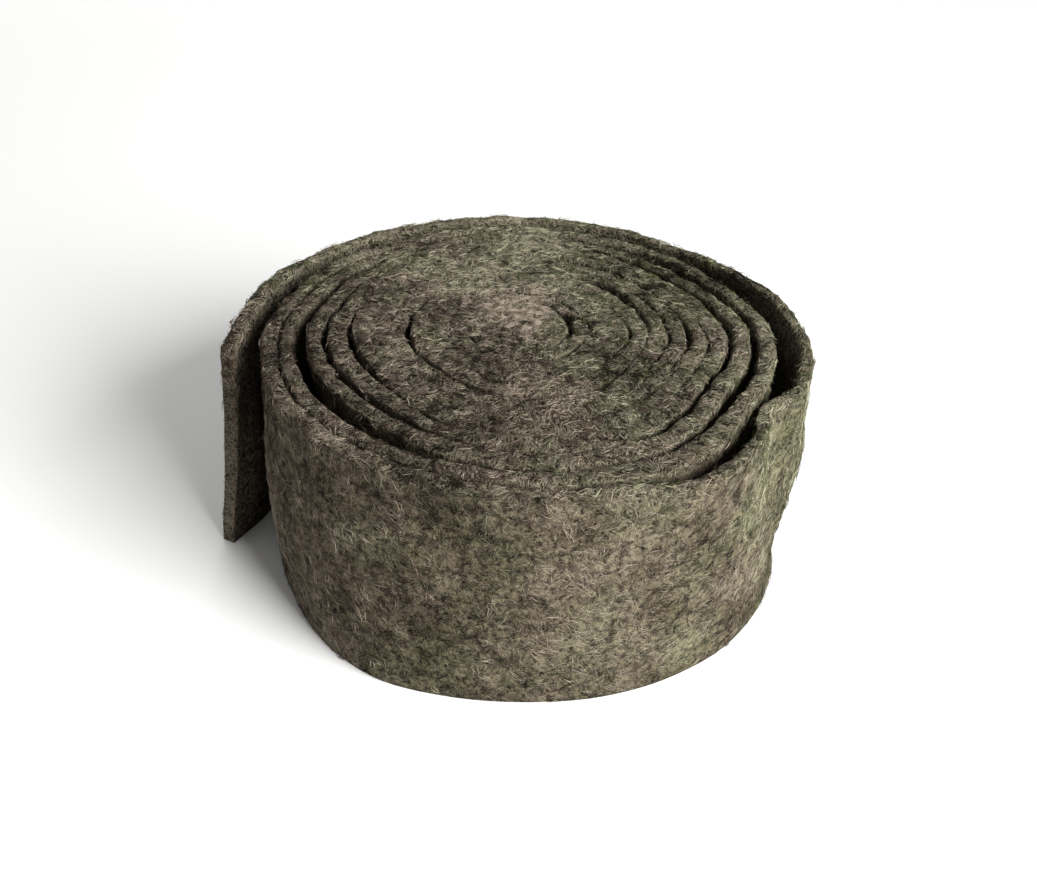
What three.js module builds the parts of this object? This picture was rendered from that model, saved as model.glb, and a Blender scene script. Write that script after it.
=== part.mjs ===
// A roll of thick grey-brown wool felt: one long strip, wound up tight and stood on its edge.
// The last turn has worked loose, and its end hangs away from the roll at the left.
// Millimetres, +Z up. The roll stands on z = 0, with the middle of its outline at the origin.

import * as THREE from 'three';

// The strip.
const STRIP_WIDTH = 50; // stands upright, so it is the height of the roll
const FELT = 3; // thickness
const SOFT_EDGE = 0.9; // how far the upper edges of the strip are rounded off
const WAIST_HEIGHT = 20; // where the loose outer turn bulges

// How the strip is wound.
const PITCH = 3.95; // from one inner turn to the next
const INNER_TURNS = 9.1; // turns inside the fourth one
const LEAST_GAP = 0.45; // room kept between two turns
const FINE_TURNS = 4; // outer turns that are cut into finer steps

// The outer turns, seen from above: how far their outer faces lie from the axis of the roll, in each
// direction, anticlockwise from +X in degrees. The outermost turn has a radius for its upper edge, for
// its waist and for its foot. It begins at the left, sags at the front, has a dent in its upper edge at
// 330 degrees and stands off the roll on the right. The others are given at their upper edge.
const TURNS = [
  { direction: 180, top: 52.8, waist: 54.5, foot: 54.6, second: 49.4, third: 43.0, fourth: 39.3 },
  { direction: 195, top: 53.0, waist: 55.6, foot: 55.2, second: 49.5, third: 42.6, fourth: 39.0 },
  { direction: 210, top: 53.8, waist: 56.6, foot: 55.6, second: 50.2, third: 42.8, fourth: 39.2 },
  { direction: 225, top: 54.2, waist: 57.0, foot: 57.0, second: 50.6, third: 43.6, fourth: 39.5 },
  { direction: 240, top: 54.6, waist: 57.0, foot: 57.6, second: 50.9, third: 44.8, fourth: 40.4 },
  { direction: 255, top: 55.3, waist: 56.2, foot: 56.0, second: 51.8, third: 47.0, fourth: 42.2 },
  { direction: 270, top: 56.3, waist: 55.8, foot: 55.0, second: 52.8, third: 48.6, fourth: 43.8 },
  { direction: 285, top: 57.6, waist: 56.4, foot: 55.3, second: 54.0, third: 49.0, fourth: 44.2 },
  { direction: 300, top: 59.1, waist: 57.4, foot: 56.0, second: 55.3, third: 49.2, fourth: 43.7 },
  { direction: 315, top: 58.0, waist: 58.0, foot: 56.8, second: 53.0, third: 47.6, fourth: 42.4 },
  { direction: 330, top: 55.8, waist: 58.0, foot: 55.9, second: 51.3, third: 45.3, fourth: 40.7 },
  { direction: 345, top: 57.6, waist: 58.0, foot: 54.8, second: 50.5, third: 45.5, fourth: 40.9 },
  { direction: 360, top: 56.5, waist: 56.2, foot: 53.6, second: 50.0, third: 45.2, fourth: 39.8 },
  { direction: 375, top: 55.0, waist: 53.8, foot: 51.8, second: 47.6, third: 43.2, fourth: 38.6 },
  { direction: 390, top: 52.7, waist: 51.2, foot: 50.2, second: 46.0, third: 42.0, fourth: 37.6 },
  { direction: 405, top: 51.4, waist: 50.2, foot: 49.6, second: 45.7, third: 41.6, fourth: 37.4 },
  { direction: 420, top: 51.6, waist: 50.2, foot: 49.8, second: 45.6, third: 41.5, fourth: 37.5 },
  { direction: 435, top: 52.5, waist: 50.6, foot: 50.2, second: 46.0, third: 41.8, fourth: 37.9 },
  { direction: 450, top: 53.3, waist: 51.4, foot: 50.8, second: 46.8, third: 42.5, fourth: 38.7 },
  { direction: 465, top: 54.7, waist: 52.8, foot: 52.0, second: 47.9, third: 43.6, fourth: 39.8 },
  { direction: 480, top: 56.0, waist: 54.2, foot: 53.4, second: 49.3, third: 45.2, fourth: 41.2 },
  { direction: 495, top: 57.3, waist: 55.8, foot: 55.2, second: 50.7, third: 46.7, fourth: 42.4 },
  { direction: 510, top: 59.1, waist: 57.6, foot: 57.2, second: 51.7, third: 47.9, fourth: 43.0 },
  { direction: 525, top: 60.2, waist: 59.4, foot: 59.4, second: 52.4, third: 48.8, fourth: 43.2 },
];

// The loose end, from where it leaves the roll to its straight cut. Its foot has kicked outwards.
const LOOSE_END = [
  { direction: 532.5, top: 60.0, waist: 60.0, foot: 60.6 },
  { direction: 540, top: 60.0, waist: 61.0, foot: 62.8 },
  { direction: 543.5, top: 60.4, waist: 62.6, foot: 65.2 },
  { direction: 547.2, top: 61.0, waist: 64.6, foot: 68.3 },
];

const FULL_CIRCLE = 360;
const STEP = TURNS[1].direction - TURNS[0].direction;
const STEPS_A_TURN = FULL_CIRCLE / STEP;

// Below its upper edge a turn hangs straight down, unless the turn outside it leaves it less room.
function turnInside(outside, top) {
  const room = FELT + LEAST_GAP;
  return { top, waist: Math.min(top, outside.waist - room), foot: Math.min(top, outside.foot - room) };
}

// The inner turns are an even spiral. It takes on the uneven outline of the fourth turn little by
// little, on its way out from the core.
function innerTurn(stepsIn) {
  const row = TURNS[(STEPS_A_TURN - (stepsIn % STEPS_A_TURN)) % STEPS_A_TURN];
  const start = TURNS[0];
  const stepsOut = (row.direction - start.direction) / STEP;
  const unevenness = row.fourth - (start.fourth + (PITCH * stepsOut) / STEPS_A_TURN);
  const even = start.fourth - (PITCH * stepsIn) / STEPS_A_TURN;
  const radius = even + (unevenness * even) / start.fourth;
  return { direction: row.direction, top: radius, waist: radius, foot: radius };
}

// Every place at which the path of the strip is known, from the core to the loose end.
function stations() {
  const core = [];
  for (let stepsIn = Math.round(INNER_TURNS * STEPS_A_TURN); stepsIn > 0; stepsIn -= 1) {
    core.push(innerTurn(stepsIn));
  }
  const second = TURNS.map((row) => ({ direction: row.direction, ...turnInside(row, row.second) }));
  const third = TURNS.map((row, i) => ({ direction: row.direction, ...turnInside(second[i], row.third) }));
  const fourth = TURNS.map((row, i) => ({ direction: row.direction, ...turnInside(third[i], row.fourth) }));
  return [...core, ...fourth, ...third, ...second, ...TURNS, ...LOOSE_END];
}

// The line of the strip's outer face at one height, as a smooth curve through the stations.
function faceLine(places, level) {
  const points = places.map((place) => {
    const angle = THREE.MathUtils.degToRad(place.direction);
    return new THREE.Vector3(place[level] * Math.cos(angle), place[level] * Math.sin(angle), 0);
  });
  return new THREE.CatmullRomCurve3(points, false, 'centripetal');
}

// Where along the curve the strip gets a section: at each station, and between them too on the
// outermost turns.
function sectionPlaces(places) {
  const last = places.length - 1;
  const fineFrom = last - LOOSE_END.length - FINE_TURNS * STEPS_A_TURN;
  const along = [];
  for (let i = 0; i <= last; i += 1) {
    along.push(i / last);
    if (i >= fineFrom && i < last) {
      along.push((i + 0.5) / last);
    }
  }
  return along;
}

// One point of a section: so far in from the outer face, square to the strip, and so high.
function sectionPoint(line, t, inwards, height) {
  const tangent = line.getTangent(t);
  const point = line.getPoint(t);
  return [point.x - tangent.y * inwards, point.y + tangent.x * inwards, height];
}

// The section of the strip: up its outer face, over the soft upper edge and down its inner face.
function section(lines, t) {
  const shoulder = STRIP_WIDTH - SOFT_EDGE;
  return [
    sectionPoint(lines.foot, t, 0, 0),
    sectionPoint(lines.waist, t, 0, WAIST_HEIGHT),
    sectionPoint(lines.top, t, 0, shoulder),
    sectionPoint(lines.top, t, SOFT_EDGE, STRIP_WIDTH),
    sectionPoint(lines.top, t, FELT - SOFT_EDGE, STRIP_WIDTH),
    sectionPoint(lines.top, t, FELT, shoulder),
    sectionPoint(lines.waist, t, FELT, WAIST_HEIGHT),
    sectionPoint(lines.foot, t, FELT, 0),
  ];
}

// The wound strip as one closed body: its sections joined in a row, with a cap on each end.
function woundStrip() {
  const places = stations();
  const lines = {
    top: faceLine(places, 'top'),
    waist: faceLine(places, 'waist'),
    foot: faceLine(places, 'foot'),
  };
  const sections = sectionPlaces(places).map((t) => section(lines, t));
  const corners = sections[0].length;
  const faces = [];
  for (let i = 0; i + 1 < sections.length; i += 1) {
    for (let corner = 0; corner < corners; corner += 1) {
      const here = i * corners;
      const there = here + corners;
      const next = (corner + 1) % corners;
      faces.push(here + corner, there + corner, there + next);
      faces.push(here + corner, there + next, here + next);
    }
  }
  const lastSection = (sections.length - 1) * corners;
  for (let corner = 0; corner + 1 < corners / 2; corner += 1) {
    const facing = corners - 1 - corner;
    faces.push(corner, corner + 1, facing - 1, corner, facing - 1, facing);
    faces.push(lastSection + corner, lastSection + facing - 1, lastSection + corner + 1);
    faces.push(lastSection + corner, lastSection + facing, lastSection + facing - 1);
  }
  const geometry = new THREE.BufferGeometry();
  geometry.setAttribute('position', new THREE.Float32BufferAttribute(sections.flat(2), 3));
  geometry.setIndex(faces);
  return geometry;
}

const woolFelt = new THREE.MeshStandardMaterial({ color: 0x6b6455, roughness: 0.97, metalness: 0 });

const roll = new THREE.Mesh(woundStrip(), woolFelt);
roll.name = 'felt_roll';
roll.geometry.computeBoundingBox();
const middle = roll.geometry.boundingBox.getCenter(new THREE.Vector3());
roll.position.set(-middle.x, -middle.y, 0);

const part = new THREE.Group();
part.add(roll);

export default part;
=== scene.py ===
import math

import bmesh
import bpy
import numpy as np
from mathutils import Matrix, Vector, noise


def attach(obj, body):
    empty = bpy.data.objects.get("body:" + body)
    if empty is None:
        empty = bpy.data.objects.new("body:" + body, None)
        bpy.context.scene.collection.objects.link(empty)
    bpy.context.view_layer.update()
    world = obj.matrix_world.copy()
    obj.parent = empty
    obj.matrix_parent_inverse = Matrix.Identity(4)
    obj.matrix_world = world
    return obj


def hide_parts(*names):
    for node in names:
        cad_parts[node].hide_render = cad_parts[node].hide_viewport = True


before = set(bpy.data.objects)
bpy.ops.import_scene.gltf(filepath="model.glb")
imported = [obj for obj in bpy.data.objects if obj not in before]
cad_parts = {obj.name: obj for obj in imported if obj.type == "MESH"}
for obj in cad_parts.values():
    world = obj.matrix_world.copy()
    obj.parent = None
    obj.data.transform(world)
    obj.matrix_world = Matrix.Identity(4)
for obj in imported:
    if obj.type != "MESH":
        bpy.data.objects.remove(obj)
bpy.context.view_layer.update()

# ---------------------------------------------------------------------------------------------
# The camera. It looks down on the roll from the front, near enough to show the turns of the
# felt on top and the whole height of its outer wall.

CAMERA_PLACE = (0.00551, -0.20054, 0.1654)
CAMERA_TURN = math.radians(0.39)
CAMERA_TILT = math.radians(54.4)
CAMERA_ROLL = math.radians(-0.2)
CAMERA_LENS = 39.3
CAMERA_SENSOR = 36.0

lens = bpy.data.cameras.new("camera")
lens.lens = CAMERA_LENS
lens.sensor_width = CAMERA_SENSOR
lens.clip_start = 0.01
camera = bpy.data.objects.new("camera", lens)
camera.matrix_world = (
    Matrix.Translation(CAMERA_PLACE)
    @ Matrix.Rotation(CAMERA_TURN, 4, "Z")
    @ Matrix.Rotation(CAMERA_TILT, 4, "X")
    @ Matrix.Rotation(CAMERA_ROLL, 4, "Z")
)
bpy.context.scene.collection.objects.link(camera)
bpy.context.scene.camera = camera

# ---------------------------------------------------------------------------------------------
# The felt. One strip of thick grey-brown wool felt, cut 50 mm wide, is wound up from its inner
# end and stood on its edge. The turns inside are matted together, the last three have worked
# loose, and the outer end hangs away from the roll at the left.

MM = 0.001
AXIS = (5.509, 1.463)  # where the roll's axis stands, in mm
STRIP_WIDTH = 50.0
WAIST_HEIGHT = 20.0
PITCH = 3.95  # from one inner turn to the next
INNER_STEPS = 218  # stations inside the fourth turn from outside
TURN = 24  # stations in a turn
FELT = 3.0  # thickness of the outer turns
UPPER_FELT = FELT + 0.1  # the same at their upper edges, which are teased open a little
MATTED = 3.9  # thickness of the inner turns, whose fibres have worked into each other
SOFT_BEND = 4.0  # how softly the strip bends at its waist
LEAST_ROOM = 3.45  # from the face of one turn to the face of the turn inside it
LOOSE_TURNS = 3  # the outermost turns, which aren't matted together

# The outer turns, seen from above: the distance of their outer faces from the axis.
# direction, upper edge, waist and foot of the outermost turn, then the second, third and fourth
TURNS = (
    (180, 52.8, 54.5, 54.6, 49.4, 43.0, 39.3),
    (195, 53.0, 55.6, 55.2, 49.5, 42.6, 39.0),
    (210, 53.8, 56.6, 55.6, 50.2, 42.8, 39.2),
    (225, 54.2, 57.0, 57.0, 50.6, 43.6, 39.5),
    (240, 54.6, 57.0, 57.6, 50.9, 44.8, 40.4),
    (255, 55.3, 56.2, 56.0, 51.8, 47.0, 42.2),
    (270, 56.3, 55.8, 55.0, 52.8, 48.6, 43.8),
    (285, 57.6, 56.4, 55.3, 54.0, 49.0, 44.2),
    (300, 59.1, 57.4, 56.0, 55.3, 49.2, 43.7),
    (315, 58.0, 58.0, 56.8, 53.0, 47.6, 42.4),
    (330, 55.8, 58.0, 55.9, 51.3, 45.3, 40.7),
    (345, 57.6, 58.0, 54.8, 50.5, 45.5, 40.9),
    (360, 56.5, 56.2, 53.6, 50.0, 45.2, 39.8),
    (375, 55.0, 53.8, 51.8, 47.6, 43.2, 38.6),
    (390, 52.7, 51.2, 50.2, 46.0, 42.0, 37.6),
    (405, 51.4, 50.2, 49.6, 45.7, 41.6, 37.4),
    (420, 51.6, 50.2, 49.8, 45.6, 41.5, 37.5),
    (435, 52.5, 50.6, 50.2, 46.0, 41.8, 37.9),
    (450, 53.3, 51.4, 50.8, 46.8, 42.5, 38.7),
    (465, 54.7, 52.8, 52.0, 47.9, 43.6, 39.8),
    (480, 56.0, 54.2, 53.4, 49.3, 45.2, 41.2),
    (495, 57.3, 55.8, 55.2, 50.7, 46.7, 42.4),
    (510, 59.1, 57.6, 57.2, 51.7, 47.9, 43.0),
    (525, 60.2, 59.4, 59.4, 52.4, 48.8, 43.2),
)
# The loose end: direction, upper edge, waist and foot.
LOOSE_END = (
    (532.5, 60.0, 60.0, 60.6),
    (540.0, 60.0, 61.0, 62.8),
    (543.5, 60.4, 62.6, 65.2),
    (547.2, 61.0, 64.6, 68.3),
)
# Where a turn is pushed out or in: the turn counted from outside, the direction and half spread,
# the height and its half spread, and the shift.
DENTS = (
    (1, 300, 14.0, 50, 17, 1.8),
    (1, 325, 4.5, 50, 18, -1.8),
    (1, 335, 5.0, 50, 18, 1.3),
    (1, 286, 36.0, 0, 15, 1.2),
    (1, 342, 14.0, 13, 10, -1.4),
    (1, 350, 14.0, 28, 7, 1.0),
    (1, 334, 12.0, 2, 7, 1.2),
    (2, 322, 8.0, 50, 14, -0.8),
    (3, 322, 10.0, 50, 14, -0.9),
    (4, 322, 10.0, 50, 14, -0.8),
    (3, 40, 25.0, 50, 14, -1.2),
    (4, 42, 25.0, 50, 14, -1.2),
    (3, 115, 14.0, 50, 14, -0.8),
    (3, 190, 24.0, 50, 14, 1.4),
    (4, 185, 16.0, 50, 14, 1.0),
    (4, 228, 16.0, 50, 14, -1.0),
    (5, 212, 20.0, 50, 14, -1.8),
    (6, 48, 28.0, 50, 14, -0.7),
    (11, 315, 18.0, 50, 14, -1.0),
    (11, 45, 34.0, 50, 14, -1.1),
    (12, 15, 30.0, 50, 14, -1.2),
)
# The least gap between the upper edges of matted turns, of loose turns, and anywhere.
MATTED_GAP, LOOSE_GAP, LEAST_GAP = 0.04, 0.45, 0.03
# Cracks between the matted turns: the turn inside the crack, direction, half spread and width.
CRACKS = (
    (12, 22, 55, 2.0),
    (11, 315, 18, 1.1),
    (11, 40, 36, 1.1),
    (11, 112, 22, 1.2),
    (11, 208, 8, 0.5),
    (10, 200, 14, 0.5),
    (9, 251, 8, 1.0),
    (9, 345, 16, 0.8),
    (8, 186, 20, 1.5),
    (8, 225, 20, 0.7),
    (8, 252, 8, 1.3),
    (8, 305, 20, 0.8),
    (8, 0, 18, 0.5),
    (8, 50, 32, 1.9),
    (7, 90, 16, 1.1),
    (7, 10, 14, 0.5),
    (7, 350, 20, 0.6),
    (7, 318, 14, 0.6),
    (6, 350, 18, 0.8),
    (6, 48, 28, 1.6),
    (5, 345, 16, 0.6),
    (5, 152, 16, 0.8),
    (5, 175, 14, 0.6),
    (5, 208, 18, 1.1),
    (5, 240, 10, 0.6),
    (4, 170, 10, 0.5),
    (4, 205, 16, 0.7),
    (4, 232, 18, 0.9),
)
# Where the felt of a loose turn has swollen or worn thin at its upper edge: turn, direction, half
# spread and extra thickness.
SWELLINGS = (
    (1, 302, 24, -0.55),
    (1, 350, 40, -0.9),
    (1, 45, 40, -0.6),
    (2, 292, 22, 2.2),
    (2, 182, 16, -0.6),
    (2, 115, 14, -0.5),
    (2, 40, 26, -0.4),
    (3, 275, 40, 1.4),
    (3, 40, 26, -0.3),
)
THINNEST = 0.3  # what is left of the strip in its tightest spot
# How far an upper edge is rounded: a loose turn's outer and inner edge, a matted turn's, what a
# crack adds to it, and the most as a share of the thickness.
OUTER_ROUND, INNER_ROUND, MATTED_ROUND, CRACK_ROUND, MOST_ROUND = 0.6, 0.5, 0.05, 0.4, 0.45
MOST_TINGE = 1.4  # the limit of how green or brown a spot may be
# Where the felt is made paler or darker, greener or browner than elsewhere: place from the axis,
# size, how much paler and how much greener. The two patches on the loose end's inner face are painted
# light.
PATCHES = (
    (-1, 8, 50, 8, 1.6, -2.0),
    (-4, -3, 50, 9, 0.3, -1.8),
    (-16, 24, 50, 12, 1.0, 0.2),
    (2, 38, 50, 13, 0.8, 1.2),
    (12, 18, 50, 7, 0.7, 0.0),
    (-44, -6, 50, 17, -1.1, -1.8),
    (-20, -34, 50, 15, -1.3, -1.2),
    (-8, -14, 50, 8, -0.9, -0.6),
    (20, -20, 50, 11, -1.0, 0.3),
    (38, 18, 50, 17, -1.0, 1.4),
    (16, 26, 50, 10, -0.7, 1.6),
    (44, 30, 46, 16, -0.6, 1.2),
    (-52, 22, 48, 10, -0.9, 3.0),
    # Painted light: these two make the loose end's inner face paler where the roll shades it, and
    # also browner.
    (-64, -6, 25, 22, 1.0, -4.0),
    (-69, -11, 25, 9, 2.0, -1.0),
    (48, -30, 40, 13, 0.4, 2.0),
    (50, -18, 24, 9, -1.2, 1.0),
    (-48, -36, 25, 18, 0.1, -0.8),
    (-20, -54, 42, 14, -0.4, 0.9),
    (10, -56, 24, 12, 0.8, 0.0),
    (-14, -55, 14, 12, -0.9, 0.9),
    (6, -28, 50, 9, 0.5, -1.0),
    (4, -39, 50, 8, -0.8, -0.8),
)


def stations():
    """Direction, upper edge, waist and foot of the strip, from the core to the loose end."""
    places = []
    for steps_in in range(INNER_STEPS, 0, -1):
        row = TURNS[-steps_in % TURN]
        steps_out = -steps_in % TURN
        even = TURNS[0][6] - PITCH * steps_in / TURN
        uneven = row[6] - (TURNS[0][6] + PITCH * steps_out / TURN)
        radius = even + uneven * even / TURNS[0][6]
        places.append((row[0], radius, radius, radius))
    turns = [[row[:4] for row in TURNS]]
    for column in (4, 5, 6):
        outside = turns[0]
        turns.insert(0, [
            (
                row[0],
                row[column],
                min(row[column], out[2] - LEAST_ROOM),
                min(row[column], out[3] - LEAST_ROOM),
            )
            for row, out in zip(TURNS, outside)
        ])
    for turn in turns:
        places.extend(turn)
    places.extend(LOOSE_END)
    return np.array(places)


def smooth_line(points, at):
    """The curve through the points, at fractional station numbers."""
    last = len(points) - 1
    at = np.maximum(at, 0)
    number = np.clip(np.floor(at).astype(int), 0, last - 1)
    t = (at - number)[:, None]
    knots = np.vstack([2 * points[0] - points[1], points, 2 * points[-1] - points[-2]])
    gaps = np.sqrt(np.linalg.norm(np.diff(knots, axis=0), axis=1))[:, None]
    p0, p1, p2, p3 = (knots[number + k] for k in range(4))
    d0, d1, d2 = (gaps[number + k] for k in range(3))
    m1 = ((p1 - p0) / d0 - (p2 - p0) / (d0 + d1) + (p2 - p1) / d1) * d1
    m2 = ((p2 - p1) / d1 - (p3 - p1) / (d1 + d2) + (p3 - p2) / d2) * d1
    return p1 + m1 * t + (3 * (p2 - p1) - 2 * m1 - m2) * t**2 + (2 * (p1 - p2) + m1 + m2) * t**3


PLACES = stations()
LAST = len(PLACES) - 1
UNWOUND = np.unwrap(PLACES[:, 0], period=360)
FLAT_DIRECTION = np.radians(PLACES[:, 0])
PLAN = np.stack([np.cos(FLAT_DIRECTION), np.sin(FLAT_DIRECTION)], axis=1)
LINES = [PLACES[:, [column]] * PLAN for column in (3, 2, 1)]  # foot, waist and upper edge


def bump_at(value, centre, spread):
    """1 at the centre, fading to 0 within the spread to each side."""
    return np.exp(-(((value - centre) / spread) ** 2))


def direction_at(at):
    return np.interp(at, np.arange(LAST + 1), UNWOUND)


def turn_at(at):
    """The number of the turn, counted from outside."""
    return np.ceil((LAST - len(LOOSE_END) + 1 - at) / TURN)


def near_spot(at, turn, direction, spread):
    """1 at that direction in that turn of the strip, fading to 0 along the strip to each side."""
    start = UNWOUND[LAST - len(LOOSE_END) + 1 - TURN * turn]
    centre = start + (direction - TURNS[0][0]) % 360
    return bump_at(direction_at(at), centre, spread)


def bow(share, soft):
    """A share from 0 to 1 that starts softly."""
    return sum(np.clip(share + soft * k, 0, 1) for k in (-1, 0, 1)) / 3


def face(at, height):
    """A point of the strip's outer face, from the axis, in mm."""
    above = STRIP_WIDTH - WAIST_HEIGHT
    low = bow(1 - height / WAIST_HEIGHT, SOFT_BEND / WAIST_HEIGHT)
    high = bow((height - WAIST_HEIGHT) / above, SOFT_BEND / above)
    share = (low, 1 - low - high, high)
    place = sum(w[:, None] * smooth_line(line, at) for w, line in zip(share, LINES))
    shift = sum(
        push * near_spot(at, turn, direction, spread) * bump_at(height, middle, rise)
        for turn, direction, spread, middle, rise, push in DENTS
    )
    return place * (1 + shift / np.linalg.norm(place, axis=1))[:, None]


def outward(at, height):
    """The level direction square to the strip there, pointing away from the axis."""
    step = 0.03
    along = face(at + step, height) - face(at - step, height)
    along /= np.linalg.norm(along, axis=1)[:, None]
    return np.stack([along[:, 1], -along[:, 0]], axis=1)


def wavering(points, size, seed):
    """Soft random relief between -1 and 1, the same in every run."""
    shift = Vector((seed * 17.3, seed * 5.7, seed * 11.1))
    return np.array([noise.noise(Vector(p) / size + shift) for p in points])


def crack_at(at):
    """How wide the gap inside the strip's upper edge is at least. Its edges are ragged."""
    crack = np.where(turn_at(at) > LOOSE_TURNS, MATTED_GAP, LOOSE_GAP)
    crack += LOOSE_GAP * (near_spot(at, 1, 290, 40) + near_spot(at, 2, 290, 40))
    for turn, direction, spread, width in CRACKS:
        crack += width * near_spot(at - TURN, turn, direction, spread)
    along = np.column_stack([at, 0 * at, 0 * at])
    ragged = 0.9 * wavering(along, size=1.7, seed=6)
    ragged += 0.9 * wavering(along, size=0.33, seed=13)
    return np.maximum(crack * (1 + ragged), LEAST_GAP)


def upper_thickness(at):
    """How thick the strip is at its upper edge, which fills the room that its turn has there."""
    top = np.full(len(at), STRIP_WIDTH)
    radius = np.linalg.norm(face(at, top), axis=1)
    inner = np.linalg.norm(face(np.maximum(at - TURN, 0), top), axis=1)
    room = np.where(at >= TURN, radius - inner, radius)
    limit = np.where(turn_at(at) > LOOSE_TURNS, MATTED, UPPER_FELT)
    for turn, direction, spread, extra in SWELLINGS:
        limit += extra * near_spot(at, turn, direction, spread)
    return np.maximum(np.minimum(limit, room - crack_at(at)), THINNEST)


def edge_softness(at, thickness):
    """How far the outer and the inner edge at the top of the strip are rounded off. Matted turns
    are rounded only where a crack parts them."""
    loose = turn_at(at) <= LOOSE_TURNS
    cracked_out = MATTED_ROUND + CRACK_ROUND * np.minimum(crack_at(at + TURN), 1.0)
    cracked_in = MATTED_ROUND + CRACK_ROUND * np.minimum(crack_at(at), 1.0)
    outer = np.where(loose, OUTER_ROUND, cracked_out)
    inner = np.where(loose, INNER_ROUND, cracked_in)
    return np.minimum(outer, thickness * MOST_ROUND), np.minimum(inner, thickness * MOST_ROUND)


def paler_at(points):
    """How much paler than elsewhere the felt is made at each point. On the loose end's inner face
    this is painted light.
    """
    paler = 0.9 * wavering(points, size=7.0, seed=9) + 0.8 * wavering(points, size=15.0, seed=11)
    for x, y, z, size, more, greener in PATCHES:
        paler += more * np.exp(-((points - (x, y, z)) ** 2).sum(axis=-1) / size**2)
    return paler


def greener_at(points):
    """How much greener than elsewhere the wool is at each point. It is greener towards the back
    and the right."""
    greener = 1.9 * wavering(points, size=12.0, seed=10) + points[..., 1] / 85 + points[..., 0] / 95
    for x, y, z, size, paler, more in PATCHES:
        greener += more * np.exp(-((points - (x, y, z)) ** 2).sum(axis=-1) / size**2)
    return MOST_TINGE * np.tanh(greener / MOST_TINGE)


WORN_FROM = 42.0  # the height from which the faces are more worn, up to the edge
FLAT_FOOT = 3.0  # the height up to which the faces become uneven, above the flat foot
RISE_FROM = 30.0  # the height from which the strip rises and falls with its upper edge


def face_relief(points):
    """How far the felt swells from its even face, in mm. It is more uneven near its upper edge."""
    edge = np.clip((points[:, 2] - WORN_FROM) / (STRIP_WIDTH - WORN_FROM), 0, 1)
    fine = (0.22 + 0.4 * edge) * wavering(points, size=4.0, seed=2)
    return fine + 0.25 * wavering(points, size=11.0, seed=3)


def tuft_relief(points):
    """How far the loose fibres bulge out in small tufts, or sink in between them, in mm."""
    return 0.4 * wavering(points, size=1.7, seed=14)


def top_relief(plan):
    """How far the upper edges of the turns rise and fall, in mm. Matted turns rise together."""
    points = np.column_stack([plan, 0 * plan[:, 0]])
    return 0.5 * wavering(points, size=5.0, seed=4) + 0.45 * wavering(points, size=13.0, seed=5)


# The strip is laid out as a grid, along its length and round its section, then wound up.
COARSE_STEP, MIDDLE_STEP, FINE_STEP = 2.2, 1.3, 1.0
FACE_HEIGHTS = (
    0, 1, 2.6, 4.6, 7, 9.6, 12.2, 15, 17.8, 20.6, 23.4, 26.2, 29, 31.8, 34.6, 37.4, 40, 42.4, 44.4,
    46.2, 47.6,
)
BACK_HEIGHTS = (48.2, 46.6, 44.4, 41.4, 37, 30, 20, 8, 0)
EDGE_ANGLES = (0, 24, 48, 70, 90)
EDGE_FLAT = (0.25, 0.5, 0.75)
CROWN = 0.12  # how far the upper edge is raised along its middle
MATTED_DEPTH = 18.0  # how far down the inner turns are matted, and so thicker


def length_steps():
    """Station numbers of the grid's rows, close together where the strip shows."""
    fine = np.linspace(0, LAST, 8 * LAST + 1)
    line = smooth_line(LINES[2], fine)
    run = np.concatenate([[0], np.cumsum(np.linalg.norm(np.diff(line, axis=0), axis=1))])
    outer = np.interp(LAST - len(LOOSE_END) - 2 * TURN, fine, run)
    middle = np.interp(LAST - len(LOOSE_END) - 4 * TURN, fine, run)
    parts = [
        np.arange(0, middle, COARSE_STEP),
        np.arange(middle, outer, MIDDLE_STEP),
        np.linspace(outer, run[-1], int((run[-1] - outer) / FINE_STEP)),
    ]
    runs = np.concatenate(parts)
    return np.interp(runs, run, fine), runs


def section(thickness, outer_soft, inner_soft):
    """Distance inwards and height of the points round the strip's section."""
    inwards, heights = [], []
    for height in FACE_HEIGHTS:
        inwards.append(0 * thickness)
        heights.append(0 * thickness + height)
    for angle in EDGE_ANGLES:
        a = math.radians(angle)
        inwards.append(outer_soft * (1 - math.cos(a)))
        heights.append(STRIP_WIDTH - outer_soft * (1 - math.sin(a)))
    for share in EDGE_FLAT:
        inwards.append(outer_soft + (thickness - outer_soft - inner_soft) * share)
        heights.append(STRIP_WIDTH + CROWN * np.sin(np.pi * share) + 0 * thickness)
    for angle in reversed(EDGE_ANGLES):
        a = math.radians(angle)
        inwards.append(thickness - inner_soft * (1 - math.cos(a)))
        heights.append(STRIP_WIDTH - inner_soft * (1 - math.sin(a)))
    for height in BACK_HEIGHTS:
        thinner = np.minimum(thickness, FELT) - thickness
        inwards.append(thickness + thinner * min(1, (STRIP_WIDTH - height) / MATTED_DEPTH))
        heights.append(0 * thickness + height)
    inwards.append(0 * thickness + FELT / 2)
    heights.append(0 * thickness)
    inwards.append(0 * thickness)
    heights.append(0 * thickness)
    return np.array(inwards).T, np.array(heights).T


rows, runs = length_steps()
thick = upper_thickness(rows)
inwards, heights = section(thick, *edge_softness(rows, thick))
along_count, round_count = inwards.shape
at = np.repeat(rows, round_count)
depth = inwards.ravel()
height = heights.ravel()
spot = face(at, height)
normal = outward(at, height)
plan = spot - normal * depth[:, None]
solid = np.column_stack([plan, height])
solid[:, :2] += normal * (face_relief(solid) * np.clip(height / FLAT_FOOT, 0, 1))[:, None]
solid[:, 2] += top_relief(plan) * np.clip((height - RISE_FROM) / (STRIP_WIDTH - RISE_FROM), 0, 1)
pale_spots = paler_at(solid).reshape(along_count, round_count)
green_spots = greener_at(solid).reshape(along_count, round_count)
solid[:, :2] += AXIS
solid *= MM
wound = solid.reshape(along_count, round_count, 3)
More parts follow.
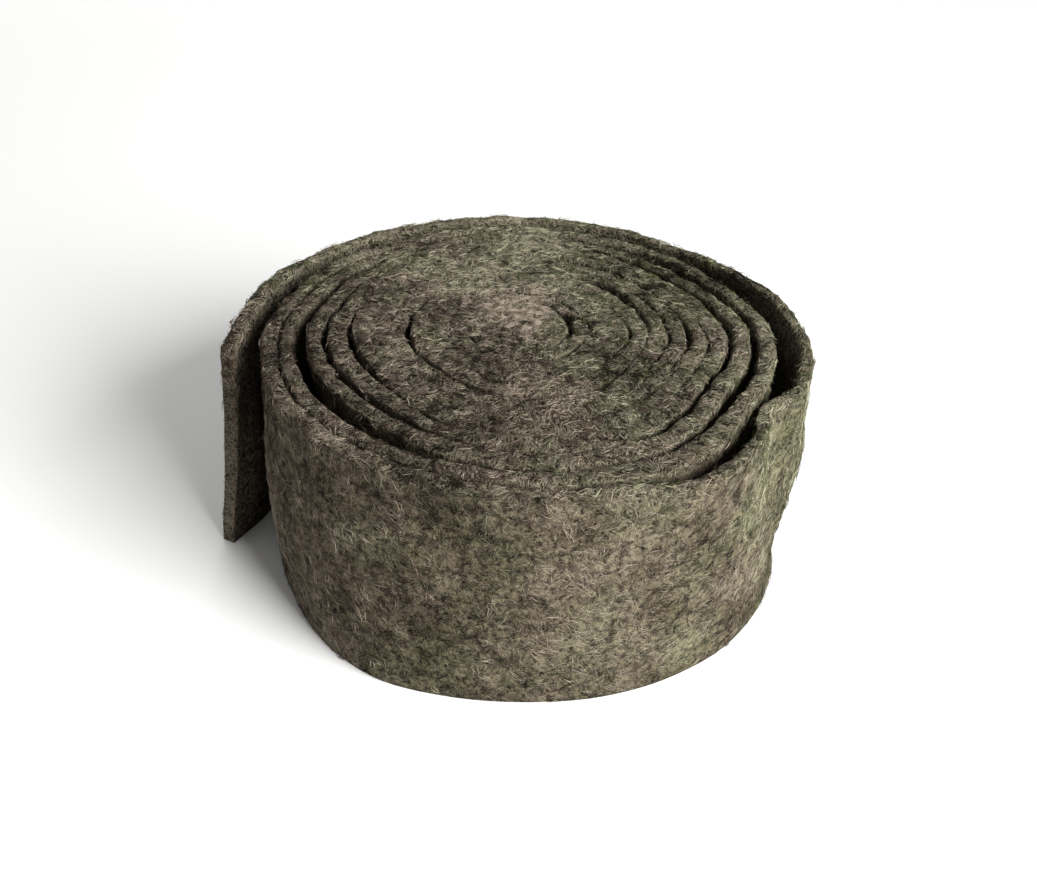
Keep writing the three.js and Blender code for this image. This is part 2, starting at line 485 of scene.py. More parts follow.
# The way round the section is measured on one row of the outermost turns.
MEASURED_ROW = -400
steps_round = np.linalg.norm(np.diff(wound[MEASURED_ROW], axis=0), axis=1)
girth = np.concatenate([[0], np.cumsum(steps_round)])

felt = bmesh.new()
felt_map = felt.loops.layers.uv.new("felt")
felt_paler = felt.verts.layers.float.new("paler")
felt_greener = felt.verts.layers.float.new("greener")
bmesh.ops.create_grid(felt, x_segments=along_count - 1, y_segments=round_count - 1, size=0.5)
for f in felt.faces:
    for corner in f.loops:
        i = round((corner.vert.co.x + 0.5) * (along_count - 1))
        j = round((corner.vert.co.y + 0.5) * (round_count - 1))
        corner[felt_map].uv = (runs[i] * MM, girth[j])
for vert in felt.verts:
    i = round((vert.co.x + 0.5) * (along_count - 1))
    j = round((vert.co.y + 0.5) * (round_count - 1))
    vert.co = wound[i, j]
    vert[felt_paler] = pale_spots[i, j]
    vert[felt_greener] = green_spots[i, j]
bmesh.ops.remove_doubles(felt, verts=felt.verts, dist=1e-6)
rim = [e for e in felt.edges if e.is_boundary]
for cap in bmesh.ops.holes_fill(felt, edges=rim, sides=0)["faces"]:
    for corner in cap.loops:
        corner[felt_map].uv = (corner.vert.co.x + corner.vert.co.y, corner.vert.co.z)
bmesh.ops.recalc_face_normals(felt, faces=felt.faces)
for f in felt.faces:
    f.smooth = True
felt_mesh = bpy.data.meshes.new("felt_strip")
felt.to_mesh(felt_mesh)
felt.free()
felt_strip = bpy.data.objects.new("felt_strip", felt_mesh)
bpy.context.scene.collection.objects.link(felt_strip)


def new_group(name, inputs, outputs):
    """An empty node group with its sockets."""
    group = bpy.data.node_groups.new(name, "ShaderNodeTree")
    for title, kind in inputs:
        group.interface.new_socket(name=title, in_out="INPUT", socket_type=kind)
    for title, kind in outputs:
        group.interface.new_socket(name=title, in_out="OUTPUT", socket_type=kind)
    return group, group.nodes.new("NodeGroupInput"), group.nodes.new("NodeGroupOutput")


def add(tree, kind, values=(), **settings):
    """A node with its settings, and plain values for its named or numbered sockets."""
    node = tree.nodes.new(kind)
    for name, value in settings.items():
        setattr(node, name, value)
    for socket, value in dict(values).items():
        node.inputs[socket].default_value = value
    return node


# The sockets of a node that mixes colours, by number: the share, both colours and the result.
SHARE, UNDER, OVER, MIXED = 0, 6, 7, 2

# One layer of short stray fibres that all lie about one way.
STRAND_EDGE = 0.12  # how softly a fibre's edges fade
strands, given, result = new_group(
    "stray_fibres",
    (("Vector", "NodeSocketVector"), ("Angle", "NodeSocketFloat"), ("Length", "NodeSocketFloat"),
     ("Width", "NodeSocketFloat"), ("Seed", "NodeSocketFloat"), ("Cover", "NodeSocketFloat")),
    (("Mask", "NodeSocketFloat"),),
)
bend = add(strands, "ShaderNodeTexNoise", {"Scale": 240.0, "Detail": 1.0})
centre_bend = add(strands, "ShaderNodeVectorMath", {1: (-0.5, -0.5, -0.5)}, operation="ADD")
size_bend = add(strands, "ShaderNodeVectorMath", {"Scale": 0.0045}, operation="SCALE")
bent = add(strands, "ShaderNodeVectorMath", operation="ADD")
turned = add(strands, "ShaderNodeVectorRotate", rotation_type="Z_AXIS")
extent = add(strands, "ShaderNodeCombineXYZ")
scaled = add(strands, "ShaderNodeVectorMath", operation="DIVIDE")
seeded = add(strands, "ShaderNodeCombineXYZ")
moved = add(strands, "ShaderNodeVectorMath", operation="ADD")
streak = add(strands, "ShaderNodeTexNoise", {"Scale": 1.0, "Detail": 0.0})
cover = add(strands, "ShaderNodeMath", {1: STRAND_EDGE}, operation="ADD")
sharp = add(strands, "ShaderNodeMapRange", interpolation_type="SMOOTHSTEP")
link = strands.links.new
link(given.outputs["Vector"], bend.inputs["Vector"])
link(bend.outputs["Color"], centre_bend.inputs[0])
link(centre_bend.outputs[0], size_bend.inputs[0])
link(given.outputs["Vector"], bent.inputs[0])
link(size_bend.outputs[0], bent.inputs[1])
link(bent.outputs[0], turned.inputs["Vector"])
link(given.outputs["Angle"], turned.inputs["Angle"])
link(given.outputs["Length"], extent.inputs["X"])
link(given.outputs["Width"], extent.inputs["Y"])
link(given.outputs["Width"], extent.inputs["Z"])
link(turned.outputs[0], scaled.inputs[0])
link(extent.outputs[0], scaled.inputs[1])
link(given.outputs["Seed"], seeded.inputs["X"])
link(given.outputs["Seed"], seeded.inputs["Z"])
link(scaled.outputs[0], moved.inputs[0])
link(seeded.outputs[0], moved.inputs[1])
link(moved.outputs[0], streak.inputs["Vector"])
link(streak.outputs["Fac"], sharp.inputs["Value"])
link(given.outputs["Cover"], sharp.inputs["From Min"])
link(given.outputs["Cover"], cover.inputs[0])
link(cover.outputs[0], sharp.inputs["From Max"])
link(sharp.outputs[0], result.inputs["Mask"])

# The colours of the felt's ground, browner and greener, and of the strands drawn on it.
FELT_DARK = (0.006, 0.0047, 0.0033, 1)
FELT_OLIVE = (0.020, 0.023, 0.008, 1)
FELT_BROWN = (0.027, 0.0175, 0.0125, 1)
FELT_GREEN_GREY = (0.046, 0.045, 0.026, 1)
FELT_BROWN_GREY = (0.050, 0.0395, 0.029, 1)
STRAND_LIGHT = (0.185, 0.163, 0.117, 1)
STRAND_MID = (0.096, 0.082, 0.057, 1)
STRAND_RELIEF = 0.09  # how far the strands stand up, as a share of the felt's own clumps
MOTTLE_PULL = 5.0  # how much the fine mottling counts beside the paler places
# Angle in radians, length and width in metres, seed, cover, whether it is a light one.
STRAND_LAYERS = (
    (0.20, 0.0042, 0.00034, 3.0, 0.56, 0),
    (1.35, 0.0036, 0.00032, 11.0, 0.56, 0),
    (2.35, 0.0044, 0.00034, 23.0, 0.56, 0),
    (0.75, 0.0040, 0.00030, 31.0, 0.61, 1),
    (1.90, 0.0034, 0.00028, 47.0, 0.61, 1),
    (2.85, 0.0046, 0.00030, 59.0, 0.61, 1),
)

wool = bpy.data.materials.new("wool_felt")
wool.use_nodes = True
tree = wool.node_tree
tree.nodes.clear()
link = tree.links.new
place = add(tree, "ShaderNodeUVMap", uv_map="felt")
objects = add(tree, "ShaderNodeTexCoord")
mottle = add(tree, "ShaderNodeTexNoise", {"Scale": 140.0, "Detail": 2.0, "Roughness": 0.5})
clump = add(tree, "ShaderNodeTexNoise", {"Scale": 380.0, "Detail": 2.0, "Roughness": 0.55})
link(objects.outputs["Object"], mottle.inputs["Vector"])
link(objects.outputs["Object"], clump.inputs["Vector"])
tinge = add(tree, "ShaderNodeAttribute", attribute_name="greener")
green_share = add(tree, "ShaderNodeMapRange", {"From Min": -2.2, "From Max": 2.2})
link(tinge.outputs["Fac"], green_share.inputs["Value"])
low = add(tree, "ShaderNodeMix", {UNDER: FELT_BROWN, OVER: FELT_OLIVE}, data_type="RGBA")
link(green_share.outputs[0], low.inputs[SHARE])
high = add(tree, "ShaderNodeMix", {UNDER: FELT_BROWN_GREY, OVER: FELT_GREEN_GREY}, data_type="RGBA")
link(green_share.outputs[0], high.inputs[SHARE])
paleness = add(tree, "ShaderNodeAttribute", attribute_name="paler")
mottled = add(tree, "ShaderNodeMath", {1: MOTTLE_PULL}, operation="MULTIPLY_ADD")
link(mottle.outputs["Fac"], mottled.inputs[0])
link(paleness.outputs["Fac"], mottled.inputs[2])
grey_share = add(tree, "ShaderNodeMapRange", {"From Min": 0.4, "From Max": 4.2})
link(mottled.outputs[0], grey_share.inputs["Value"])
ground = add(tree, "ShaderNodeMix", data_type="RGBA")
link(grey_share.outputs[0], ground.inputs[SHARE])
link(low.outputs[MIXED], ground.inputs[UNDER])
link(high.outputs[MIXED], ground.inputs[OVER])
shade = add(tree, "ShaderNodeMapRange", {"From Min": 0.42, "From Max": 0.62})
link(clump.outputs["Fac"], shade.inputs["Value"])
colour = add(tree, "ShaderNodeMix", {UNDER: FELT_DARK}, data_type="RGBA")
link(shade.outputs[0], colour.inputs[SHARE])
link(ground.outputs[MIXED], colour.inputs[OVER])
surface_height = clump.outputs["Fac"]
for angle, length, width, seed, cover_from, light in STRAND_LAYERS:
    layer = add(tree, "ShaderNodeGroup", node_tree=strands)
    layer.inputs["Angle"].default_value = angle
    layer.inputs["Length"].default_value = length
    layer.inputs["Width"].default_value = width
    layer.inputs["Seed"].default_value = seed
    layer.inputs["Cover"].default_value = cover_from
    link(place.outputs["UV"], layer.inputs["Vector"])
    over = add(tree, "ShaderNodeMix", {OVER: STRAND_LIGHT if light else STRAND_MID}, data_type="RGBA")
    link(layer.outputs["Mask"], over.inputs[SHARE])
    link(colour.outputs[MIXED], over.inputs[UNDER])
    colour = over
    higher = add(tree, "ShaderNodeMath", {1: STRAND_RELIEF}, operation="MULTIPLY_ADD")
    link(layer.outputs["Mask"], higher.inputs[0])
    link(surface_height, higher.inputs[2])
    surface_height = higher.outputs[0]
# Round the section, in metres: where the outer side ends, where the top starts and ends, and
# where the inner side starts.
OUTER_END, TOP_START, TOP_END, INNER_START = 0.047, 0.051, 0.0535, 0.057
section_place = add(tree, "ShaderNodeSeparateXYZ")
link(place.outputs["UV"], section_place.inputs[0])
# Painted shade: the strip's inner side, which faces into the gaps between the turns, is darkened to
# stand in for the shade there.
painted_inner_shade = add(
    tree, "ShaderNodeMapRange",
    {"From Min": TOP_END, "From Max": INNER_START, "To Min": 1.0, "To Max": 0.7},
)
link(section_place.outputs["Y"], painted_inner_shade.inputs["Value"])
# The outer side is pressed smoother, so half of what shows there is its flecked ground.
fleck = add(
    tree, "ShaderNodeTexNoise",
    {"Scale": 640.0, "Detail": 2.0, "Roughness": 0.55, "Distortion": 0.7},
)
link(objects.outputs["Object"], fleck.inputs["Vector"])
felted = add(
    tree, "ShaderNodeMapRange",
    {"From Min": 0.40, "From Max": 0.60, "To Min": 0.3, "To Max": 4.5},
)
link(fleck.outputs["Fac"], felted.inputs["Value"])
felted_ground = add(tree, "ShaderNodeMix", {SHARE: 1.0}, data_type="RGBA", blend_type="MULTIPLY")
link(ground.outputs[MIXED], felted_ground.inputs[UNDER])
link(felted.outputs[0], felted_ground.inputs[OVER])
outer_side = add(
    tree, "ShaderNodeMapRange",
    {"From Min": OUTER_END, "From Max": TOP_START, "To Min": 0.5, "To Max": 0.0},
)
link(section_place.outputs["Y"], outer_side.inputs["Value"])
softened = add(tree, "ShaderNodeMix", data_type="RGBA")
link(outer_side.outputs[0], softened.inputs[SHARE])
link(colour.outputs[MIXED], softened.inputs[UNDER])
link(felted_ground.outputs[MIXED], softened.inputs[OVER])
# Pale patches are paler throughout, and the painted shade of the inner side is multiplied in.
strength = add(
    tree, "ShaderNodeMapRange",
    {"From Min": -2.0, "From Max": 2.0, "To Min": 0.65, "To Max": 1.3},
)
link(paleness.outputs["Fac"], strength.inputs["Value"])
shade_and_paleness = add(tree, "ShaderNodeMath", operation="MULTIPLY")
link(painted_inner_shade.outputs[0], shade_and_paleness.inputs[0])
link(strength.outputs[0], shade_and_paleness.inputs[1])
# The colour with painted shade on the inner side and with the paler or darker patches.
toned_and_shaded = add(tree, "ShaderNodeMix", {SHARE: 1.0}, data_type="RGBA", blend_type="MULTIPLY")
link(softened.outputs[MIXED], toned_and_shaded.inputs[UNDER])
link(shade_and_paleness.outputs[0], toned_and_shaded.inputs[OVER])
rough = add(tree, "ShaderNodeMapRange", {"To Min": 0.88, "To Max": 1.0})
link(clump.outputs["Fac"], rough.inputs["Value"])
relief_bump = add(tree, "ShaderNodeBump", {"Strength": 0.8, "Distance": 0.0009})
link(surface_height, relief_bump.inputs["Height"])
shader = add(tree, "ShaderNodeBsdfPrincipled", {"Specular IOR Level": 0.05})
out = add(tree, "ShaderNodeOutputMaterial")
link(toned_and_shaded.outputs[MIXED], shader.inputs["Base Color"])
link(rough.outputs[0], shader.inputs["Roughness"])
link(relief_bump.outputs[0], shader.inputs["Normal"])
link(shader.outputs[0], out.inputs["Surface"])
felt_mesh.materials.append(wool)

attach(felt_strip, "root")
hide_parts("felt_roll")

# ---------------------------------------------------------------------------------------------
# The fibres. Coarse curly wool fibres, 1 to 6 mm long, lie in locks of three on the felt's faces,
# across its upper edges and on its cut end. Wool of seven colours was carded together, so each
# colour is one piece of loose fibres that are rooted in the strip.

FIBRE_STEPS = 3
FIBRE_SIDES = 3
LOCK = 3  # fibres that lie together in a lock
WALL_LOCKS, TOP_LOCKS, INNER_FACE_LOCKS, OUTER_FACE_LOCKS, CUT_LOCKS = 10000, 10300, 1850, 1200, 150
CORE_LOCKS = 300  # those of the top that lie on the innermost bend
# A lock's bend and its double bend in radians, and how far each of its fibres differs.
BEND, OWN_BEND = 0.6, 0.4
SWING, OWN_SWING = 0.4, 0.3
# How far a lock stands off the felt in mm, least and most, how far each of its fibres differs, and
# how much further a fibre's ends stand off on average.
LEAST_LIFT, MOST_LIFT, OWN_LIFT, END_LIFT = -0.03, 0.2, 0.04, 0.055
FACE_LIFT, TOP_LIFT, CUT_LIFT = 0.7, 0.6, 0.3  # the most that the ends stand off, in mm
PAST_END = 0.03  # how far a fibre may reach past the loose end, in stations
# Lengths in mm: the logarithm of the usual one and its spread, the limits for a lock, how far each
# of its fibres differs, and the shortest fibre.
LOG_LENGTH, LOG_SPREAD = 1.08, 0.38
SHORT_LOCK, LONG_LOCK, OWN_LENGTH, SHORTEST = 1.2, 6.0, 0.4, 0.8
LOWEST = 0.25  # the least height of a fibre over the surface that the roll stands on
# How far a fibre of a lock differs in its heading in radians, and in its place along the strip, up
# the strip and across it, in mm and as a share of the thickness.
OWN_HEADING, OWN_SHIFT, OWN_RISE, OWN_SHARE = 0.4, 0.45, 0.35, 0.1
# How far a fibre differs from its lock in tone, and in hue, and how far locks differ in hue.
OWN_TONE, OWN_HUE, LOCK_HUE = 0.35, 0.3, 0.5
PATCH_TONE = 1.3  # how much paler the fibres are in the felt's paler places
MOST_THICKER = 2.0  # how many times the least radius the thickest fibre has
LOW_ROOT, HIGH_ROOT = 0.3, 50.2  # between which heights the fibres are rooted
# Each part of the felt in turn, from the wall, the top, the inner and the outer faces beside a gap to
# the cut end: how unlike its neighbours a lock may be, how much the tones gather in clumps, how much
# darker its fibres are made, and the least radius of its fibres in mm. On the inner faces beside the
# gaps that darkening is painted shade. The cut end, which is made paler, gets painted light.
PART_LOOKS = (
    (0.8, 1.5, 0.3, 0.026),
    (0.95, 1.8, 0.15, 0.036),
    (0.8, 1.8, 0.9, 0.034),
    (1.0, 1.8, 0.3, 0.034),
    (0.9, 1.8, -0.3, 0.034),
)
# name, colour, how many
FIBRE_COLOURS = (
    ("fibres_straw", (0.322, 0.306, 0.207), 8000),
    ("fibres_rose", (0.338, 0.281, 0.222), 8000),
    ("fibres_moss", (0.163, 0.165, 0.104), 8500),
    ("fibres_mouse", (0.176, 0.138, 0.106), 8500),
    ("fibres_olive", (0.061, 0.068, 0.029), 11000),
    ("fibres_umber", (0.071, 0.048, 0.037), 11000),
    ("fibres_dark", (0.012, 0.009, 0.006), 15500),
)

hair = bmesh.new()
bmesh.ops.create_grid(hair, x_segments=FIBRE_STEPS, y_segments=FIBRE_SIDES, size=0.5)
for vert in hair.verts:
    share = vert.co.x + 0.5
    turn_round = (vert.co.y + 0.5) * 2 * math.pi
    width = 1.0 if 0.01 < share < 0.99 else 0.0
    vert.co = (share * FIBRE_STEPS, math.cos(turn_round) * width, math.sin(turn_round) * width)
bmesh.ops.remove_doubles(hair, verts=hair.verts, dist=1e-4)
bmesh.ops.recalc_face_normals(hair, faces=hair.faces)
hair.verts.index_update()
HAIR = np.array([v.co for v in hair.verts])
HAIR_LOOPS = np.array([v.index for f in hair.faces for v in f.verts])
HAIR_SIZES = np.array([len(f.verts) for f in hair.faces])
hair.free()

draw = np.random.default_rng(7)


def in_locks(values, spread):
    """Each lock's value, passed on to its fibres with a small spread."""
    return np.repeat(values, LOCK) + draw.normal(0, spread, len(values) * LOCK)


def curls(heading, length):
    """Fibres lying on a flat surface: each one's points, along and across, from its middle."""
    count = len(heading)
    bend = in_locks(draw.normal(0, BEND, count // LOCK), OWN_BEND)[:, None]
    swing = in_locks(draw.normal(0, SWING, count // LOCK), OWN_SWING)[:, None]
    middle = (np.arange(FIBRE_STEPS) + 0.5) / FIBRE_STEPS
    way = heading[:, None] + bend * (middle - 0.5) * 2 + swing * np.sin(2 * np.pi * middle)
    step = length[:, None] / FIBRE_STEPS
    start = np.zeros((count, 1))
    along = np.concatenate([start, np.cumsum(np.cos(way) * step, axis=1)], axis=1)
    across = np.concatenate([start, np.cumsum(np.sin(way) * step, axis=1)], axis=1)
    return along - along.mean(axis=1)[:, None], across - across.mean(axis=1)[:, None]


def lifts(count, most):
    """How far each point of each fibre stands off the felt, in mm."""
    base = in_locks(draw.uniform(LEAST_LIFT, MOST_LIFT, count // LOCK), OWN_LIFT)[:, None]
    ends = np.linspace(-1, 1, FIBRE_STEPS + 1)
    first = np.minimum(draw.exponential(END_LIFT, count), most)[:, None]
    last = np.minimum(draw.exponential(END_LIFT, count), most)[:, None]
    return base + np.where(ends < 0, first, last) * ends**2


def lengths(locks):
    """How long the fibres of so many locks are, in mm."""
    usual = np.clip(draw.lognormal(LOG_LENGTH, LOG_SPREAD, locks), SHORT_LOCK, LONG_LOCK)
    return np.maximum(in_locks(usual, OWN_LENGTH), SHORTEST)


def on_face(at, height, heading, length, inner=0.0):
    """Fibres lying on the strip's outer face, or on its inner face if inner is 1."""
    count = len(at)
    along, across = curls(heading, length)
    # The length of a station there in mm, measured over a tenth of one.
    pace = np.linalg.norm(face(at + 0.05, height) - face(at - 0.05, height), axis=1) * 10
    lift = lifts(count, FACE_LIFT)
    ats = np.minimum((at[:, None] + along / pace[:, None]).ravel(), LAST + PAST_END)
    highs = np.maximum((height[:, None] + across).ravel(), LOWEST)
    over = np.maximum(highs - STRIP_WIDTH, 0)
    highs = np.minimum(highs, STRIP_WIDTH + 0.3 * over)
    wide = outward(ats, np.minimum(highs, STRIP_WIDTH))
    flat = face(ats, np.minimum(highs, STRIP_WIDTH))
    points = np.column_stack([flat, highs])
    swell = face_relief(points) * np.clip(highs / FLAT_FOOT, 0, 1)
    tuft = tuft_relief(points)
    thickness = np.minimum(upper_thickness(ats), UPPER_FELT)
    off = lift.ravel() + tuft + swell if not inner else -thickness - lift.ravel() - tuft + swell
    points[:, :2] += wide * off[:, None]
    outer = wide * (1 - 2 * inner)
    return points.reshape(count, -1, 3), np.column_stack([outer, 0 * highs]).reshape(count, -1, 3)


def valley(inside, soft):
    """How far the rounded edge has dropped at that distance inside it."""
    return 0.85 * soft * (1 - np.sqrt(1 - np.clip(1 - inside / soft, 0, 1) ** 2))


# The widest gap that a fibre reaches across, in mm, least and most, and how much more that is in
# the core, up to that station.
LEAP = (0.25, 1.0)
CORE_LEAP, CORE_END = 1.0, 20
# How far a fibre stands out over a wide gap, usually and at most, and the share of that at the rim.
HOLD, MOST_HOLD, RIM_HOLD = 0.6, 1.6, 0.25
BRINK_DROP, SLOPE = 0.15, 0.65  # how far it drops at the brink, and for each mm beyond it


def on_top(at, share, heading, length):
    """Fibres lying on the upper edge of the strip. They turn down at the brink of a wide gap, and
    reach across a narrow one."""
    count = len(at)
    along, across = curls(heading, length)
    thickness = upper_thickness(at)[:, None]
    outer_soft, inner_soft = edge_softness(at, thickness[:, 0])
    middle = face(at, top_of(at))
    radius = np.linalg.norm(middle, axis=1)
    outer_gap = np.linalg.norm(face(at + TURN, top_of(at)), axis=1) - radius
    outer_gap = outer_gap - upper_thickness(at + TURN)
    outer_gap = np.where(at > LAST - TURN, np.inf, outer_gap)
    inner_gap = radius - thickness[:, 0]
    inner_gap = inner_gap - np.linalg.norm(face(np.maximum(at - TURN, 0), top_of(at)), axis=1)
    wide = outward(at, top_of(at))
    way = np.column_stack([-wide[:, 1], wide[:, 0]])
    inward = share[:, None] * thickness + across
    leap = draw.uniform(*LEAP, count)
    leap += (at < CORE_END) * CORE_LEAP
    out_over = np.maximum(-inward, 0) * (outer_gap > leap)[:, None]
    in_over = np.maximum(inward - thickness, 0) * (inner_gap > leap)[:, None]
    over = out_over + in_over
    outer_dip = valley(inward, outer_soft[:, None])
    inner_dip = valley(thickness - inward, inner_soft[:, None])
    dip = np.maximum(outer_dip, inner_dip)
    hold = np.minimum(draw.exponential(HOLD, count), MOST_HOLD)
    out_hold = np.where(at > LAST - TURN, RIM_HOLD * hold, hold)[:, None]
    hold = hold[:, None]
    inward = inward + np.maximum(out_over - out_hold, 0) - np.maximum(in_over - hold, 0)
    plan = middle[:, None, :] + way[:, None, :] * along[..., None]
    plan = plan - wide[:, None, :] * inward[..., None]
    drop = np.where(over > 0, BRINK_DROP + SLOPE * over, 0)
    spots = plan.reshape(-1, 2)
    tuft = tuft_relief(np.column_stack([spots, np.full(len(spots), STRIP_WIDTH)]))
    rise = (top_relief(spots) + 0.9 * tuft).reshape(count, -1)
    high = STRIP_WIDTH + rise + lifts(count, TOP_LIFT) - drop - dip
    points = np.concatenate([plan, high[..., None]], axis=2)
    up = np.zeros_like(points)
    up[..., 2] = 1
    return points, up


def top_of(at):
    return np.full(len(at), STRIP_WIDTH)


def at_of_run(run):
    return np.interp(run, runs, rows)


def any_way(locks):
    return in_locks(draw.uniform(-np.pi / 2, np.pi / 2, locks), OWN_HEADING)


def along_strip(first, last, locks):
    """Station numbers of fibres spread evenly between two lengths along the strip."""
    return at_of_run(in_locks(draw.uniform(first, last, locks), OWN_SHIFT))


def up_strip(heights):
    return np.clip(in_locks(heights, OWN_RISE), LOW_ROOT, STRIP_WIDTH + 0.1)


# Over the outer face, all round and along the loose end.
outer_start = np.interp(LAST - len(LOOSE_END) - TURN, rows, runs)
wall_at = along_strip(outer_start, runs[-1], WALL_LOCKS)
wall_high = up_strip(draw.uniform(LOW_ROOT, HIGH_ROOT, WALL_LOCKS))
wall = on_face(wall_at, wall_high, any_way(WALL_LOCKS), lengths(WALL_LOCKS))
# Over the upper edges. The core's locks lie on the strip's first 30 mm.
CORE_START, CORE_STOP, RING_START = 0.5, 30.0, 20.0
core_at = along_strip(CORE_START, CORE_STOP, CORE_LOCKS)
ring_at = along_strip(RING_START, runs[-1], TOP_LOCKS - CORE_LOCKS)
top_share = np.clip(in_locks(draw.uniform(0, 1, TOP_LOCKS), OWN_SHARE), 0, 1)
top_at = np.concatenate([core_at, ring_at])
top = on_top(top_at, top_share, any_way(TOP_LOCKS), lengths(TOP_LOCKS) * 0.9)
# Down the faces that show beside the wide gaps, and inside the loose end. The gaps start that far
# in along the strip, in mm, and the loose end is that many stations long.
BACK_START, FRONT_START, LOOSE_STATIONS = 680, 850, 4.6
BACK_DEPTH, FRONT_DEPTH, DEEPEST = 7.0, 6.0, 49  # how far down the fibres lie, usually and at most
back_at = along_strip(outer_start - BACK_START, runs[-1], INNER_FACE_LOCKS)
back_depth = np.minimum(draw.exponential(BACK_DEPTH, INNER_FACE_LOCKS), DEEPEST)
back_deep = up_strip(STRIP_WIDTH - back_depth)
back_even = up_strip(draw.uniform(LOW_ROOT, STRIP_WIDTH, INNER_FACE_LOCKS))
back_high = np.where(back_at > LAST - LOOSE_STATIONS, back_even, back_deep)
back = on_face(back_at, back_high, any_way(INNER_FACE_LOCKS), lengths(INNER_FACE_LOCKS), 1.0)
front_at = along_strip(outer_start - FRONT_START, outer_start + 30, OUTER_FACE_LOCKS)
front_depth = np.minimum(draw.exponential(FRONT_DEPTH, OUTER_FACE_LOCKS), DEEPEST)
front_high = up_strip(STRIP_WIDTH - front_depth)
front = on_face(front_at, front_high, any_way(OUTER_FACE_LOCKS), lengths(OUTER_FACE_LOCKS))

# On the cut across the loose end.
cut_count = CUT_LOCKS * LOCK
cut_along, cut_across = curls(any_way(CUT_LOCKS), lengths(CUT_LOCKS) * 0.8)
cut_high = np.clip(draw.uniform(0.4, 49.6, cut_count)[:, None] + cut_along, LOWEST, HIGH_ROOT)
cut_in = np.clip(draw.uniform(0.2, 2.6, cut_count)[:, None] + cut_across, -0.1, 3.0)
cut_at = np.full(cut_high.size, float(LAST))
cut_wide = outward(cut_at, cut_high.ravel())
cut_plan = face(cut_at, cut_high.ravel()) - cut_wide * cut_in.ravel()[:, None]
cut_facing = np.column_stack([-cut_wide[:, 1], cut_wide[:, 0], 0 * cut_at])
cut_points = np.column_stack([cut_plan, cut_high.ravel()])
cut_points = cut_points + cut_facing * lifts(cut_count, CUT_LIFT).ravel()[:, None]
cut = [v.reshape(cut_count, -1, 3) for v in (cut_points, cut_facing)]

parts = (wall, top, back, front, cut)
points, facing = (np.concatenate([part[k] for part in parts]) for k in (0, 1))
counts = [len(part[0]) for part in parts]
middles = points.mean(axis=1)
unlike, clumped, darker, thinnest = (np.repeat(column, counts) for column in zip(*PART_LOOKS))
own_tone = in_locks(draw.normal(0, 1, len(points) // LOCK), OWN_TONE)
clumps = clumped * wavering(middles, size=2.2, seed=8)
# Painted shade darkens the fibres on the inner faces beside the gaps, and painted light makes those
# on the cut end paler.
tone = unlike * own_tone + clumps + PATCH_TONE * paler_at(middles) - darker
hue = in_locks(draw.normal(0, LOCK_HUE, len(points) // LOCK), OWN_HUE) + greener_at(middles)
points[..., :2] += AXIS
points *= MM
thin = thinnest * draw.uniform(1.0, MOST_THICKER, len(points)) * MM
way = np.gradient(points, axis=1)
way /= np.linalg.norm(way, axis=2)[..., None]
side = facing - (facing * way).sum(axis=2)[..., None] * way
side /= np.linalg.norm(side, axis=2)[..., None]
third = np.cross(way, side)
ring = np.round(HAIR[:, 0]).astype(int)
hairs = points[:, ring] + thin[:, None, None] * (
    side[:, ring] * HAIR[:, 1, None] + third[:, ring] * HAIR[:, 2, None]
)

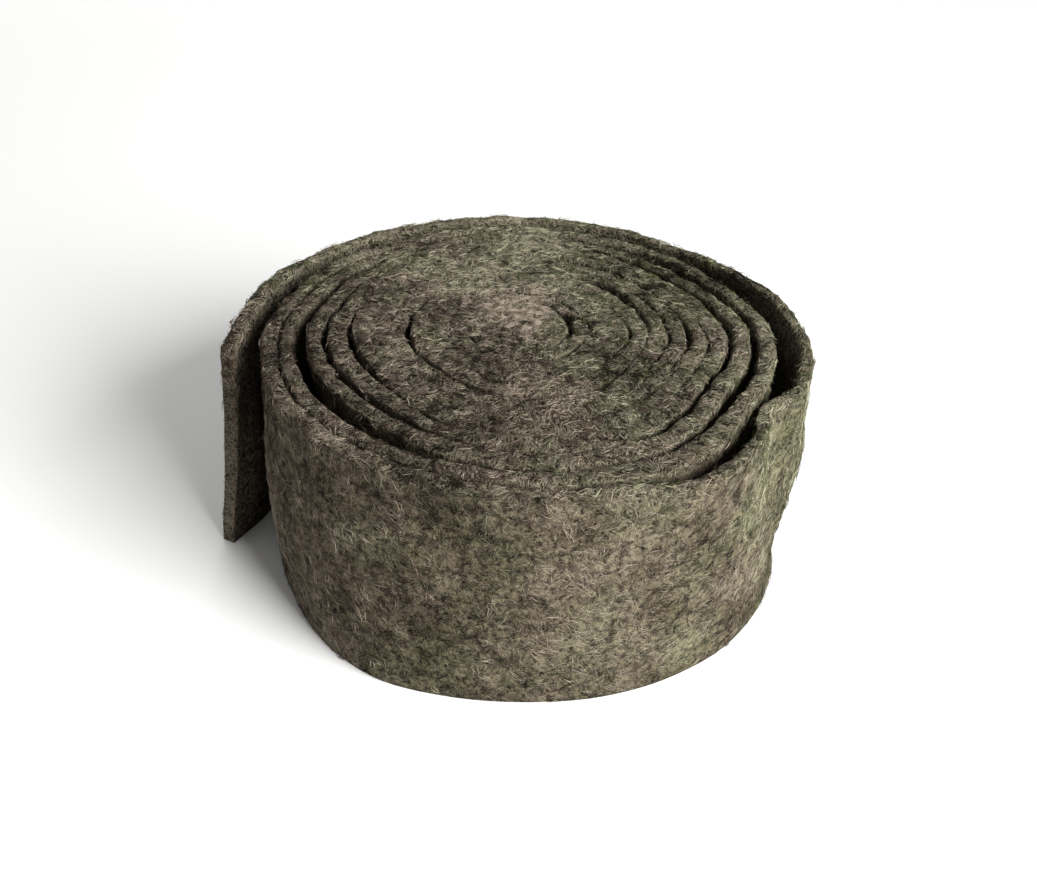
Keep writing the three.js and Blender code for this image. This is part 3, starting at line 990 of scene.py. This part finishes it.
# The palest fibres come first. Those of each tone are then parted into greener and browner ones.
order = np.argsort(-tone)
amounts = [row[2] for row in FIBRE_COLOURS]
for first in (0, 2, 4):
    begin = sum(amounts[:first])
    end = begin + amounts[first] + amounts[first + 1]
    chosen = order[begin:end]
    order[begin:end] = chosen[np.argsort(-hue[chosen])]
begin = 0
for name, tint, count in FIBRE_COLOURS:
    chosen = order[begin:begin + count]
    count = len(chosen)
    begin += count
    mesh = bpy.data.meshes.new(name)
    mesh.vertices.add(count * len(HAIR))
    mesh.loops.add(count * len(HAIR_LOOPS))
    mesh.polygons.add(count * len(HAIR_SIZES))
    mesh.vertices.foreach_set("co", hairs[chosen].astype(np.float32).ravel())
    corners = HAIR_LOOPS + np.arange(count)[:, None] * len(HAIR)
    mesh.loops.foreach_set("vertex_index", corners.ravel().astype(np.int32))
    sizes = np.tile(HAIR_SIZES, count)
    starts = np.concatenate([[0], np.cumsum(sizes)[:-1]])
    mesh.polygons.foreach_set("loop_start", starts.astype(np.int32))
    mesh.update(calc_edges=True)
    mesh.polygons.foreach_set("use_smooth", np.ones(len(sizes), bool))
    fibre = bpy.data.materials.new(name)
    fibre.use_nodes = True
    shader = fibre.node_tree.nodes["Principled BSDF"]
    shader.inputs["Base Color"].default_value = (*tint, 1)
    shader.inputs["Roughness"].default_value = 0.8
    shader.inputs["Specular IOR Level"].default_value = 0.08
    mesh.materials.append(fibre)
    piece = bpy.data.objects.new(name, mesh)
    bpy.context.scene.collection.objects.link(piece)
    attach(piece, "root")

# ---------------------------------------------------------------------------------------------
# The room: a plain pale floor under soft light from a large lamp at the front right and above,
# with a weaker one from behind.

FLOOR_SIZE = 6.0
floor_shape = bmesh.new()
bmesh.ops.create_grid(floor_shape, x_segments=1, y_segments=1, size=FLOOR_SIZE / 2)
floor_mesh = bpy.data.meshes.new("floor")
floor_shape.to_mesh(floor_mesh)
floor_shape.free()
floor = bpy.data.objects.new("floor", floor_mesh)
bpy.context.scene.collection.objects.link(floor)
paper = bpy.data.materials.new("pale_floor")
paper.use_nodes = True
paper.node_tree.nodes["Principled BSDF"].inputs["Base Color"].default_value = (0.86, 0.86, 0.85, 1)
paper.node_tree.nodes["Principled BSDF"].inputs["Roughness"].default_value = 0.9
floor_mesh.materials.append(paper)


def lamp(name, place, size, watts):
    """A square soft lamp that faces the roll."""
    light = bpy.data.lights.new(name, "AREA")
    light.shape = "SQUARE"
    light.size = size
    light.energy = watts
    holder = bpy.data.objects.new(name, light)
    holder.location = place
    aim = Vector((0, 0, 0.025)) - Vector(place)
    holder.rotation_euler = aim.to_track_quat("-Z", "Y").to_euler()
    bpy.context.scene.collection.objects.link(holder)


lamp("key_light", (0.66, -0.55, 0.45), 0.6, 25.0)
lamp("back_light", (-0.3, 0.9, 0.6), 0.8, 5.5)
room = bpy.data.worlds.new("studio")
room.use_nodes = True
room.node_tree.nodes["Background"].inputs["Color"].default_value = (1, 1, 1, 1)
room.node_tree.nodes["Background"].inputs["Strength"].default_value = 0.24
bpy.context.scene.world = room

bpy.context.scene.view_settings.view_transform = "Standard"
